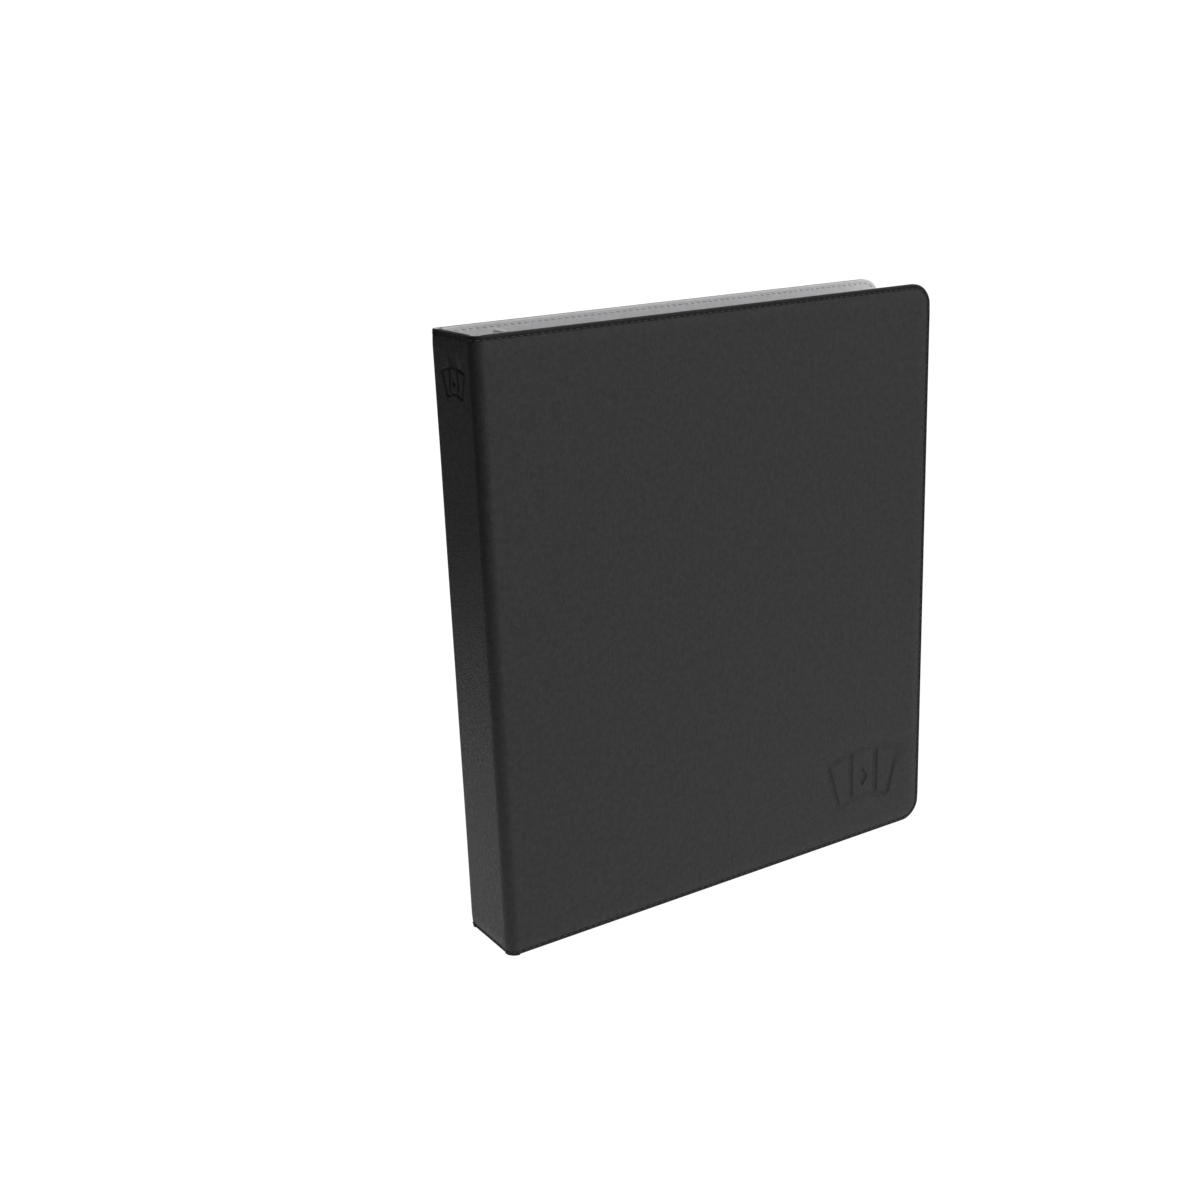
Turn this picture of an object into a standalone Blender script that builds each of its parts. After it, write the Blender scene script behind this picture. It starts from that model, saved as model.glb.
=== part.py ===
"""Trading card binder: a padded three-ring album for clear pocket pages.

The binder stands upright and closed. +Z is up, the spine is at -X, the front
cover is at -Y, the back cover at +Y, and the fore edge at +X. The origin is the
centre of the footprint. Everything is in metres.
"""

import math

import bmesh
import bpy
from mathutils import Matrix, Vector

# Driving dimensions of the case
HEIGHT = 0.320
WIDTH = 0.285
DEPTH = 0.046
CORNER_RADIUS = 0.0125      # fore-edge corners of both covers
FOLD_RADIUS = 0.006         # outside of the soft fold between spine and cover
FOLD_THICKNESS = 0.0012     # skin and lining glued to each other
LAYER_GAP = 0.00025
EDGE_GAP = 0.0003
SKIN = 0.0008
FOAM = 0.0007
BOARD = 0.00115
LINING = 0.0004
TURNED_EDGE = 0.0008        # skin turned over the edge of the board
BOARD_INSET = 0.0012        # board and foam stop this far inside the edge

# Ring mechanism, measured from the lining of the spine
RING_PITCH = 0.108
RING_RADIUS = 0.012         # centreline of the wire
WIRE_RADIUS = 0.0014
RING_CENTRE = 0.013
RING_FOOT_ANGLE = 38.0      # degrees from the middle of the spine side
RING_TIP_GAP = 0.0004
PLATE_HALF_LENGTH = 0.142
PLATE_HALF_WIDTH = 0.0106
PLATE_CROWN = 0.0059
PLATE_SHOULDER = 0.0041
PLATE_FOOT = 0.0008
SHEET_METAL = 0.0007
HINGE_PLATE_THICKNESS = 0.0008
HINGE_PLATE_HALF_LENGTH = 0.130
PIVOT_LIFT = 0.0028         # line that each ring half turns about
PIVOT_OFFSET = 0.0095
SEAM_LIFT = 0.0010          # where the two hinge plates meet, rings closed

# Opening levers
LEVER_PIVOT_FROM_MIDDLE = 0.138
LEVER_PIVOT_LIFT = 0.0023
LEVER_HALF_WIDTH = 0.006
LEVER_THICKNESS = 0.0016
LEVER_TIP = (0.0186, 0.0221)  # from the pivot: along the spine, off the spine
LEVER_BEAD_RADIUS = 0.0018
LEVER_SLOT_START = 0.131
PIN_RADIUS = 0.0008
PIN_HALF_LENGTH = 0.0110

# Rivets that hold the mechanism to the spine board
RIVET_FROM_MIDDLE = 0.120
RIVET_SHANK = 0.0018
RIVET_HEAD = 0.0035
POST_RADIUS = 0.0032
CLEAR = 0.0003

# Pocket pages
PAGE_WIDTH = 0.228
PAGE_HEIGHT = 0.280
PAGE_THICKNESS = 0.00035
PAGE_SPACING = 0.0024
PAGES_PER_SIDE = 3
PAGE_HOLE_RADIUS = 0.0043
PAGE_HANG = 0.00215         # the wire sits this far to the spine side of a hole's middle
PAGE_HOLE_FROM_EDGE = 0.010
PAGE_CORNER_RADIUS = 0.003

# Places worked out from the driving dimensions
COVER_THICKNESS = SKIN + FOAM + BOARD + LINING + 3 * LAYER_GAP
SPINE_X = -WIDTH / 2
INSIDE_X = SPINE_X + COVER_THICKNESS
MIDDLE_Z = HEIGHT / 2
COVER_START_X = SPINE_X + FOLD_RADIUS + EDGE_GAP
SPINE_HALF_WIDTH = DEPTH / 2 - FOLD_RADIUS - EDGE_GAP
# A hinge line this far inside the outer corner leaves the open skins flush.
HINGE_INSET = FOLD_RADIUS * (1 - math.pi / 4)
HINGE_X = SPINE_X + HINGE_INSET
HINGE_Y = DEPTH / 2 - HINGE_INSET
RING_HEIGHTS = {
    "top": MIDDLE_Z + RING_PITCH,
    "middle": MIDDLE_Z,
    "bottom": MIDDLE_Z - RING_PITCH,
}
SIDES = {"front": -1, "back": 1}
ENDS = {"bottom": -1, "top": 1}

COLOURS = {  # colour, roughness, metallic
    "leatherette": ((0.040, 0.040, 0.043), 0.60, 0.0),
    "foam": ((0.20, 0.20, 0.21), 0.95, 0.0),
    "greyboard": ((0.33, 0.30, 0.26), 0.90, 0.0),
    "microfibre": ((0.42, 0.42, 0.43), 0.90, 0.0),
    "nickel": ((0.72, 0.71, 0.69), 0.18, 1.0),
    "steel": ((0.55, 0.55, 0.56), 0.35, 1.0),
    "clear_film": ((0.80, 0.83, 0.85), 0.15, 0.0),
}


# ---- helpers ---------------------------------------------------------------

def clear_scene():
    for thing in list(bpy.data.objects):
        bpy.data.objects.remove(thing, do_unlink=True)


def new_collection(name):
    group = bpy.data.collections.new(name)
    bpy.context.scene.collection.children.link(group)
    return group


def make_materials():
    made = {}
    for name, (colour, roughness, metallic) in COLOURS.items():
        material = bpy.data.materials.new(name)
        material.use_nodes = True
        shader = material.node_tree.nodes["Principled BSDF"]
        shader.inputs["Base Color"].default_value = (*colour, 1.0)
        shader.inputs["Roughness"].default_value = roughness
        shader.inputs["Metallic"].default_value = metallic
        made[name] = material
    return made


def from_spine(lift, across, z):
    """A point given by its distance off the spine lining and across the spine."""
    return Vector((INSIDE_X + lift, across, z))


def take_in(item, group):
    for old in list(item.users_collection):
        old.objects.unlink(item)
    group.objects.link(item)
    return item


def box(name, low, high, group):
    """A block between two opposite corners."""
    low, high = Vector(low), Vector(high)
    bpy.ops.mesh.primitive_cube_add(size=1.0)
    item = bpy.context.object
    item.name = name
    item.data.transform(Matrix.Diagonal((*(high - low), 1.0)))
    item.location = (low + high) / 2
    return take_in(item, group)


def rod(name, start, end, radius, group, sides=24):
    """A round bar between two points."""
    start, end = Vector(start), Vector(end)
    bpy.ops.mesh.primitive_cylinder_add(
        vertices=sides, radius=radius, depth=(end - start).length)
    item = bpy.context.object
    item.name = name
    turn = (end - start).to_track_quat("Z", "Y").to_matrix().to_4x4()
    item.data.transform(turn)
    item.location = (start + end) / 2
    item.data.shade_smooth()
    item.data.set_sharp_from_angle(angle=math.radians(40))
    return take_in(item, group)


def arc(centre, radius, start, stop, steps):
    """Points of a circular arc in a plane, angles in degrees."""
    points = []
    for step in range(steps + 1):
        angle = math.radians(start + (stop - start) * step / steps)
        points.append((centre[0] + radius * math.cos(angle),
                       centre[1] + radius * math.sin(angle)))
    return points


def curve_to_mesh(curve_object, group):
    """Replace a curve object with a mesh object of the same name, caps welded."""
    bpy.context.view_layer.update()
    graph = bpy.context.evaluated_depsgraph_get()
    mesh = bpy.data.meshes.new_from_object(curve_object.evaluated_get(graph))
    shape = bmesh.new()
    shape.from_mesh(mesh)
    bmesh.ops.remove_doubles(shape, verts=shape.verts, dist=1e-6)
    bmesh.ops.recalc_face_normals(shape, faces=shape.faces)
    shape.to_mesh(mesh)
    shape.free()
    place = curve_object.matrix_world.copy()
    name = curve_object.name
    bpy.data.objects.remove(curve_object, do_unlink=True)
    item = bpy.data.objects.new(name, mesh)
    item.matrix_world = place
    group.objects.link(item)
    return item


def plate(name, outlines, thickness, rotation, location, group):
    """A flat sheet from closed outlines; the ones inside the first are holes."""
    data = bpy.data.curves.new(name, "CURVE")
    data.dimensions = "2D"
    data.fill_mode = "BOTH"
    data.extrude = thickness / 2
    for outline in outlines:
        spline = data.splines.new("POLY")
        spline.points.add(len(outline) - 1)
        spline.use_cyclic_u = True
        for point, (first, second) in zip(spline.points, outline):
            point.co = (first, second, 0.0, 1.0)
    item = bpy.data.objects.new(name, data)
    item.rotation_euler = rotation
    item.location = location
    group.objects.link(item)
    return curve_to_mesh(item, group)


def cut(item, *cutters, solver="EXACT"):
    """Take the cutters out of a piece."""
    for cutter in cutters:
        cutter.hide_render = True
        cutter.display_type = "WIRE"
        modifier = item.modifiers.new(cutter.name, "BOOLEAN")
        modifier.operation = "DIFFERENCE"
        modifier.solver = solver
        modifier.object = cutter


def finish(item, material, holder=None):
    """Give a piece its material, and hang it from its joint's empty."""
    item.data.materials.clear()
    item.data.materials.append(material)
    if holder is not None:
        item.parent = holder
        item.matrix_parent_inverse = holder.matrix_basis.inverted()


def joint_empty(name, place, group):
    holder = bpy.data.objects.new(name, None)
    holder.empty_display_size = 0.02
    holder.location = place
    group.objects.link(holder)
    return holder


# ---- covers and spine ------------------------------------------------------

FACE_TURN = (math.radians(90), 0.0, 0.0)   # outline X, Y become world X, Z


def cover_outline(inset):
    """Outline of a cover: square at the spine, round at the fore edge."""
    right = WIDTH / 2 - inset
    low, high = inset, HEIGHT - inset
    radius = CORNER_RADIUS - inset
    points = [(COVER_START_X, low)]
    points += arc((right - radius, low + radius), radius, -90, 0, 8)
    points += arc((right - radius, high - radius), radius, 0, 90, 8)
    points.append((COVER_START_X, high))
    return points


def layer_depths():
    """Each layer of the case: how far its two faces are from the outside."""
    depths = {}
    start = 0.0
    for name, thickness in (("skin", SKIN), ("foam", FOAM), ("board", BOARD), ("lining", LINING)):
        depths[name] = (start, start + thickness)
        start += thickness + LAYER_GAP
    return depths


def cover_layer(name, side, faces, inset, group):
    """A sheet of a cover between two distances from the cover's outside."""
    middle = side * (DEPTH / 2 - (faces[0] + faces[1]) / 2)
    thickness = faces[1] - faces[0]
    return plate(name, [cover_outline(inset)], thickness, FACE_TURN, (0.0, middle, 0.0), group)


def make_cover(label, side, holder, parts, cutters, materials):
    depths = layer_depths()
    rim_end = depths["board"][1]
    skin = cover_layer(f"{label}_cover_skin", side, (0.0, rim_end), 0.0, parts)
    pocket = cover_layer(f"{label}_cover_pocket", side, (SKIN, rim_end + 0.001), TURNED_EDGE, cutters)
    near, far = sorted(side * (DEPTH / 2 - depth) for depth in (SKIN, rim_end + 0.001))
    open_edge = box(f"{label}_fold_side", (COVER_START_X - 0.002, near, TURNED_EDGE),
                    (COVER_START_X + 0.002, far, HEIGHT - TURNED_EDGE), cutters)
    cut(skin, pocket, open_edge)
    foam = cover_layer(f"{label}_cover_foam", side, depths["foam"], BOARD_INSET, parts)
    board = cover_layer(f"{label}_cover_board", side, depths["board"], BOARD_INSET, parts)
    lining = cover_layer(f"{label}_cover_lining", side, depths["lining"], 0.0, parts)
    finish(skin, materials["leatherette"], holder)
    finish(foam, materials["foam"], holder)
    finish(board, materials["greyboard"], holder)
    finish(lining, materials["microfibre"], holder)


def make_fold(label, side, parts, materials):
    """A quarter-round strip of skin and lining between the spine and a cover."""
    centre = (SPINE_X + FOLD_RADIUS, side * (DEPTH / 2 - FOLD_RADIUS))
    inner = FOLD_RADIUS - FOLD_THICKNESS
    outline = arc(centre, FOLD_RADIUS, 180, 180 - side * 90, 12)
    outline += arc(centre, inner, 180 - side * 90, 180, 12)
    strip = plate(f"{label}_fold_strip", [outline], HEIGHT, (0, 0, 0), (0, 0, MIDDLE_Z), parts)
    finish(strip, materials["leatherette"])


def spine_layer(name, faces, inset, group):
    low = (SPINE_X + faces[0], -SPINE_HALF_WIDTH, inset)
    high = (SPINE_X + faces[1], SPINE_HALF_WIDTH, HEIGHT - inset)
    return box(name, low, high, group)


def make_spine(parts, cutters, materials):
    depths = layer_depths()
    rim_end = depths["board"][1]
    skin = spine_layer("spine_skin", (0.0, rim_end), 0.0, parts)
    pocket = box("spine_pocket", (SPINE_X + SKIN, -DEPTH / 2, TURNED_EDGE),
                 (SPINE_X + rim_end + 0.001, DEPTH / 2, HEIGHT - TURNED_EDGE), cutters)
    cut(skin, pocket)
    foam = spine_layer("spine_foam", depths["foam"], BOARD_INSET, parts)
    board = spine_layer("spine_board", depths["board"], BOARD_INSET, parts)
    lining = spine_layer("spine_lining", depths["lining"], 0.0, parts)
    for label, sign in ENDS.items():
        z = MIDDLE_Z + sign * RIVET_FROM_MIDDLE
        shank = rod(f"shank_hole_{label}", from_spine(-0.004, 0, z), from_spine(0.001, 0, z),
                    RIVET_SHANK + CLEAR, cutters)
        tail = rod(f"tail_hole_{label}", from_spine(-0.0029, 0, z), from_spine(-0.0020, 0, z),
                   RIVET_HEAD + CLEAR, cutters)
        cut(foam, tail)
        cut(board, shank)
        cut(lining, shank)
    finish(skin, materials["leatherette"])
    finish(foam, materials["foam"])
    finish(board, materials["greyboard"])
    finish(lining, materials["microfibre"])


# ---- ring mechanism --------------------------------------------------------

def arch_outline():
    """Section of the cover plate: two flanges and a shallow crown, with thickness."""
    def shell(half_width, shoulder, crown):
        rise = crown - shoulder
        radius = (half_width ** 2 + rise ** 2) / (2 * rise)
        reach = math.degrees(math.asin(half_width / radius))
        return arc((crown - radius, 0.0), radius, -reach, reach, 14)

    outside = shell(PLATE_HALF_WIDTH, PLATE_SHOULDER, PLATE_CROWN)
    inside = shell(PLATE_HALF_WIDTH - SHEET_METAL, PLATE_SHOULDER - SHEET_METAL,
                   PLATE_CROWN - SHEET_METAL)
    points = [(PLATE_FOOT, -PLATE_HALF_WIDTH)] + outside + [(PLATE_FOOT, PLATE_HALF_WIDTH)]
    points += [(PLATE_FOOT, PLATE_HALF_WIDTH - SHEET_METAL)] + inside[::-1]
    points.append((PLATE_FOOT, -PLATE_HALF_WIDTH + SHEET_METAL))
    return [(INSIDE_X + lift, across) for lift, across in points]


def wire_slots(name, sign, first, group):
    """Blocks that free the ring wires on one side of a plate."""
    blocks = []
    half = WIRE_RADIUS + CLEAR
    for label, z in RING_HEIGHTS.items():
        ends = sorted((sign * first, sign * (PLATE_HALF_WIDTH + 0.002)))
        low = from_spine(-0.0002, ends[0], z - half)
        high = from_spine(0.009, ends[1], z + half)
        blocks.append(box(f"{name}_{label}", low, high, group))
    return blocks


def make_cover_plate(parts, cutters, materials):
    body = plate("ring_cover_plate", [arch_outline()], 2 * PLATE_HALF_LENGTH, (0, 0, 0),
                 (0, 0, MIDDLE_Z), parts)
    tools = []
    for label, sign in SIDES.items():
        tools += wire_slots(f"plate_slot_{label}", sign, 0.0056, cutters)
    half = LEVER_HALF_WIDTH + 2 * CLEAR
    for label, sign in ENDS.items():
        z = MIDDLE_Z + sign * RIVET_FROM_MIDDLE
        tools.append(rod(f"rivet_hole_{label}", from_spine(0.004, 0, z), from_spine(0.008, 0, z),
                         RIVET_SHANK + CLEAR, cutters))
        ends = sorted((MIDDLE_Z + sign * LEVER_SLOT_START,
                       MIDDLE_Z + sign * (PLATE_HALF_LENGTH + 0.002)))
        tools.append(box(f"lever_slot_{label}", from_spine(-0.001, -half, ends[0]),
                         from_spine(0.010, half, ends[1]), cutters))
        pivot = MIDDLE_Z + sign * LEVER_PIVOT_FROM_MIDDLE
        tools.append(rod(f"pin_hole_{label}", from_spine(LEVER_PIVOT_LIFT, -0.013, pivot),
                         from_spine(LEVER_PIVOT_LIFT, 0.013, pivot), PIN_RADIUS + CLEAR, cutters))
    cut(body, *tools, solver="MANIFOLD")
    finish(body, materials["nickel"])


def make_fixings(parts, cutters, materials):
    """Rivets, the posts that space the mechanism off the spine, and lever pins."""
    crown_inside = PLATE_CROWN - SHEET_METAL
    for label, sign in ENDS.items():
        z = MIDDLE_Z + sign * RIVET_FROM_MIDDLE
        tail_start, tail_end = -0.0026, -0.00205
        head_start, head_end = PLATE_CROWN + CLEAR, PLATE_CROWN + CLEAR + 0.0005
        profile = [(0.0, head_end), (RIVET_HEAD - 0.001, head_end), (RIVET_HEAD, head_start),
                   (RIVET_SHANK, head_start), (RIVET_SHANK, tail_end), (RIVET_HEAD, tail_end),
                   (RIVET_HEAD, tail_start), (0.0, tail_start)]
        rivet = turned(f"mounting_rivet_{label}", profile, z, parts)
        finish(rivet, materials["steel"])
        post = rod(f"mounting_post_{label}", from_spine(CLEAR, 0, z),
                   from_spine(crown_inside - 2 * CLEAR, 0, z), POST_RADIUS, parts)
        cut(post, rod(f"post_bore_{label}", from_spine(-0.001, 0, z), from_spine(0.007, 0, z),
                      RIVET_SHANK + CLEAR, cutters))
        finish(post, materials["steel"])
        pivot = MIDDLE_Z + sign * LEVER_PIVOT_FROM_MIDDLE
        pin = rod(f"lever_pin_{label}", from_spine(LEVER_PIVOT_LIFT, -PIN_HALF_LENGTH, pivot),
                  from_spine(LEVER_PIVOT_LIFT, PIN_HALF_LENGTH, pivot), PIN_RADIUS, parts, 16)
        finish(pin, materials["steel"])


def turned(name, profile, z, group):
    """A turned piece on an axis square to the spine, from radius and lift pairs."""
    mesh = bpy.data.meshes.new(name)
    points = [(radius, 0.0, lift) for radius, lift in profile]
    mesh.from_pydata(points, [(i, i + 1) for i in range(len(points) - 1)], [])
    item = bpy.data.objects.new(name, mesh)
    group.objects.link(item)
    item.rotation_euler = (0.0, math.radians(90), 0.0)
    item.location = from_spine(0.0, 0.0, z)
    screw = item.modifiers.new("turn", "SCREW")
    screw.angle = math.radians(360)
    screw.steps = screw.render_steps = 24
    screw.use_merge_vertices = True
    screw.merge_threshold = 0.00001
    return item


def make_hinge_plate(label, sign, holder, parts, cutters, materials):
    """One sprung plate: its outer edge is the pivot, its inner edge the seam."""
    inner, outer = 0.0003, PIVOT_OFFSET + 0.0001
    slope = math.atan2(PIVOT_LIFT - SEAM_LIFT, outer - inner)
    rise = HINGE_PLATE_THICKNESS / 2
    across = Vector((math.sin(slope), math.cos(slope)))
    lift = Vector((math.cos(slope), -math.sin(slope)))
    start = Vector((SEAM_LIFT, inner))
    end = start + across * (outer - inner)
    corners = [start + lift * rise, end + lift * rise, end - lift * rise, start - lift * rise]
    outline = [(INSIDE_X + corner.x, sign * corner.y) for corner in corners]
    body = plate(f"hinge_plate_{label}", [outline], 2 * HINGE_PLATE_HALF_LENGTH, (0, 0, 0),
                 (0, 0, MIDDLE_Z), parts)
    cut(body, *wire_slots(f"hinge_slot_{label}", sign, 0.0048, cutters))
    for end_label, end_sign in ENDS.items():
        z = MIDDLE_Z + end_sign * RIVET_FROM_MIDDLE
        cut(body, rod(f"post_clearance_{label}_{end_label}", from_spine(-0.001, 0, z),
                      from_spine(0.007, 0, z), POST_RADIUS + 0.0008, cutters))
    finish(body, materials["steel"], holder)


def make_ring_half(label, sign, height_label, z, holder, parts, materials):
    """Half of one ring: wire from its foot in the hinge plate to its tip."""
    tip_angle = math.degrees(RING_TIP_GAP / 2 / RING_RADIUS)
    start, stop = 180 - RING_FOOT_ANGLE, tip_angle
    path = arc((INSIDE_X + RING_CENTRE, 0.0), RING_RADIUS, start, stop, 18)
    data = bpy.data.curves.new(f"ring_{height_label}_{label}", "CURVE")
    data.dimensions = "3D"
    data.bevel_depth = WIRE_RADIUS
    data.bevel_resolution = 3
    data.use_fill_caps = True
    spline = data.splines.new("POLY")
    spline.points.add(len(path) - 1)
    for point, (x, y) in zip(spline.points, path):
        point.co = (x, sign * y, z, 1.0)
    item = bpy.data.objects.new(data.name, data)
    parts.objects.link(item)
    ring = curve_to_mesh(item, parts)
    ring.data.shade_smooth()
    finish(ring, materials["nickel"], holder)


def make_lever(label, sign, holder, parts, cutters, materials):
    """A bent lever with a nose under the hinge plates and a bead at its tip."""
    pivot_z = MIDDLE_Z + sign * LEVER_PIVOT_FROM_MIDDLE
    half = LEVER_THICKNESS / 2
    tip = Vector(LEVER_TIP)
    along = tip.normalized()
    side = Vector((-along.y, along.x))
    bead_angle = math.degrees(math.atan2(along.y, along.x))
    boss = PIN_RADIUS + CLEAR + 0.0006
    points = [(-0.0062, -0.0012), (0.0, -boss)]
    points += [tuple(along * 0.004 - side * half)]
    points += arc(tip, LEVER_BEAD_RADIUS, bead_angle - 140, bead_angle + 140, 14)
    points += [tuple(along * 0.003 + side * (half + 0.0005)), (-0.0014, boss), (-0.0062, 0.0002)]
    outline = [(INSIDE_X + LEVER_PIVOT_LIFT + lift, pivot_z + sign * length)
               for length, lift in points]
    lever = plate(f"opening_lever_{label}", [outline], 2 * LEVER_HALF_WIDTH, FACE_TURN,
                  (0, 0, 0), parts)
    cut(lever, rod(f"lever_bore_{label}", from_spine(LEVER_PIVOT_LIFT, -0.013, pivot_z),
                   from_spine(LEVER_PIVOT_LIFT, 0.013, pivot_z), PIN_RADIUS + CLEAR, cutters, 16))
    finish(lever, materials["nickel"], holder)


# ---- pages -----------------------------------------------------------------

def make_page(label, number, sign, holder, parts, materials):
    """A clear pocket page that hangs on the rings by three holes."""
    across = sign * PAGE_SPACING * (number - 0.5)
    wire_x = INSIDE_X + RING_CENTRE + math.sqrt(RING_RADIUS ** 2 - across ** 2)
    hole_x = wire_x + PAGE_HANG
    left = hole_x - PAGE_HOLE_FROM_EDGE
    right = left + PAGE_WIDTH
    low, high = MIDDLE_Z - PAGE_HEIGHT / 2, MIDDLE_Z + PAGE_HEIGHT / 2
    radius = PAGE_CORNER_RADIUS
    outline = arc((left + radius, low + radius), radius, 180, 270, 4)
    outline += arc((right - radius, low + radius), radius, 270, 360, 4)
    outline += arc((right - radius, high - radius), radius, 0, 90, 4)
    outline += arc((left + radius, high - radius), radius, 90, 180, 4)
    holes = [arc((hole_x, z), PAGE_HOLE_RADIUS, 0, 345, 23) for z in RING_HEIGHTS.values()]
    page = plate(f"pocket_page_{label}_{number}", [outline] + holes, PAGE_THICKNESS, FACE_TURN,
                 (0, across, 0), parts)
    finish(page, materials["clear_film"], holder)


# ---- assembly --------------------------------------------------------------

def build():
    clear_scene()
    parts = new_collection("trading_card_binder")
    cutters = new_collection("cutters")
    materials = make_materials()
    make_spine(parts, cutters, materials)
    make_cover_plate(parts, cutters, materials)
    make_fixings(parts, cutters, materials)
    for label, sign in SIDES.items():
        hinge = joint_empty(f"{label}_cover_hinge", (HINGE_X, sign * HINGE_Y, 0), parts)
        make_cover(label, sign, hinge, parts, cutters, materials)
        make_fold(label, sign, parts, materials)
        pivot = joint_empty(f"ring_pivot_{label}",
                            from_spine(PIVOT_LIFT, sign * PIVOT_OFFSET, MIDDLE_Z), parts)
        make_hinge_plate(label, sign, pivot, parts, cutters, materials)
        for height_label, z in RING_HEIGHTS.items():
            make_ring_half(label, sign, height_label, z, pivot, parts, materials)
        for number in range(1, PAGES_PER_SIDE + 1):
            turn = joint_empty(f"page_turn_{label}_{number}",
                               from_spine(RING_CENTRE, 0, MIDDLE_Z), parts)
            make_page(label, number, sign, turn, parts, materials)
    for label, sign in ENDS.items():
        pivot_z = MIDDLE_Z + sign * LEVER_PIVOT_FROM_MIDDLE
        pivot = joint_empty(f"lever_pivot_{label}", from_spine(LEVER_PIVOT_LIFT, 0, pivot_z), parts)
        make_lever(label, sign, pivot, parts, cutters, materials)


build()
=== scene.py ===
"""Looks of the trading card binder: padded leatherette covers, stitching, lining,
ring mechanism and pocket pages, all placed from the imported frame, in metres."""

import math

import bmesh
import bpy
import numpy as np
from mathutils import Matrix, Vector


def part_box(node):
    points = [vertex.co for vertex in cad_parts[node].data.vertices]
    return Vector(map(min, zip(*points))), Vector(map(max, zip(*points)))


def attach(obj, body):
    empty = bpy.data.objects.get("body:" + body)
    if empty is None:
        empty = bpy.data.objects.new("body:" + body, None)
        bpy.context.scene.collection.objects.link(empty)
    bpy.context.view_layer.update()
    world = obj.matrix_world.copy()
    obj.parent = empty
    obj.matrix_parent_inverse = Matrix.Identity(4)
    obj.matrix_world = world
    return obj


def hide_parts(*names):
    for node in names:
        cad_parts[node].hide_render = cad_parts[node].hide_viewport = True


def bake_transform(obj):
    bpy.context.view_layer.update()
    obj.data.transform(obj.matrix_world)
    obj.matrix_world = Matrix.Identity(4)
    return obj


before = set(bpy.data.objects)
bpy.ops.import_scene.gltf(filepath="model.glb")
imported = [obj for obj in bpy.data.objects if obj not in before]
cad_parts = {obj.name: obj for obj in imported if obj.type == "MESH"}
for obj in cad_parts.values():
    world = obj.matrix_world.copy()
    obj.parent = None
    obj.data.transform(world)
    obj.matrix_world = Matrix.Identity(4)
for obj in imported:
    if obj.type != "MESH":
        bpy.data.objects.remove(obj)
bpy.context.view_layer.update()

MM = 0.001
SIDES = {"front": -1.0, "back": 1.0}
ENDS = ("bottom", "top")
RINGS = ("top", "middle", "bottom")

OVERLAP = 4 * MM                               # of a cover's skin on the spine
BOARD_GAP = 0.25 * MM                          # full thickness to the start of the board

# Places read from the frame, and what follows from them
SPINE_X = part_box("spine_skin")[0].x
FORE_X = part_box("front_cover_skin")[1].x
OUT_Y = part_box("back_cover_skin")[1].y
TOP_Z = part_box("spine_skin")[1].z
MID_Z = TOP_Z / 2
INSIDE_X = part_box("spine_lining")[1].x
CASE = INSIDE_X - SPINE_X                      # full thickness of a cover
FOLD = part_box("back_fold_strip")[1].x - SPINE_X   # outer radius of the fold
ARC = FOLD * math.pi / 2
FLAT_X = SPINE_X + FOLD                        # where the flat of a cover starts
ARC_U = FLAT_X - ARC                           # the unrolled place where the fold starts
START_U = ARC_U - OVERLAP                      # a cover's skin starts on the spine
SPINE_HALF = OUT_Y - FOLD - OVERLAP            # the spine's own skin stops there
BOARD_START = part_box("front_cover_board")[0].x - FLAT_X - BOARD_GAP   # past the fold

# Shape of the padding
CORNER = 12.5 * MM
FOLD_CASE = 1.6 * MM
LINING_SHARE = 0.165                           # of the thickness of the case
SKIN = 0.8 * MM
TURNED = 1.0 * MM
EDGE_ROUND = 1.3 * MM
SQUEEZE = 16 * MM                              # columns nearer the fore edge follow its corners
SEAM = 2.0 * MM                                # stitch row to the edge
PAINTED_SHADE_BAND = 2.5 * MM                           # pressed band between seam and edge, where shade is painted in
BAND_DROP = 0.45 * MM
GROOVE = 0.55 * MM
GROOVE_WIDTH = 0.7 * MM
PILLOW = 6.0 * MM
CREST = (0.12 * MM, 9 * MM, 4 * MM)            # height, distance from the edge, width
RIPPLE = (0.05 * MM, 6 * MM, 15 * MM)          # height, where it starts, how far it grows
LINING_SINK = 0.03 * MM                        # of the lining's hidden face
LINING_EDGE = (0.25 * MM, 0.8 * MM)            # how far it is drawn in, and how wide
LINING_PULL = 0.12 * MM                        # along the seam
GRID = 6 * MM                                  # steps of the grids where nothing bends
STITCH_PITCH = 3.9 * MM
STITCH_GAP = 1.0 * MM
STITCH_LIFTS = (-0.20 * MM, 0.10 * MM, 0.20 * MM, 0.20 * MM, 0.10 * MM, -0.20 * MM)
THREAD = 0.32 * MM
THREAD_SIDES = 8
THREAD_TIP = 0.45                              # of the thread's radius


# ---- materials -------------------------------------------------------------

def new_material(name, colour, roughness, metallic=0.0):
    material = bpy.data.materials.new(name)
    material.use_nodes = True
    shader = material.node_tree.nodes["Principled BSDF"]
    shader.inputs["Base Color"].default_value = (*colour, 1.0)
    shader.inputs["Roughness"].default_value = roughness
    shader.inputs["Metallic"].default_value = metallic
    return material, material.node_tree.nodes, material.node_tree.links, shader


def object_place(nodes):
    return nodes.new("ShaderNodeTexCoord").outputs["Object"]


def noise(nodes, links, place, scale, detail=3.0):
    texture = nodes.new("ShaderNodeTexNoise")
    texture.inputs["Scale"].default_value = scale
    texture.inputs["Detail"].default_value = detail
    links.new(place, texture.inputs["Vector"])
    return texture.outputs["Fac"]


def cells(nodes, links, place, scale):
    texture = nodes.new("ShaderNodeTexVoronoi")
    texture.inputs["Scale"].default_value = scale
    links.new(place, texture.inputs["Vector"])
    return texture.outputs["Distance"]


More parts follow.
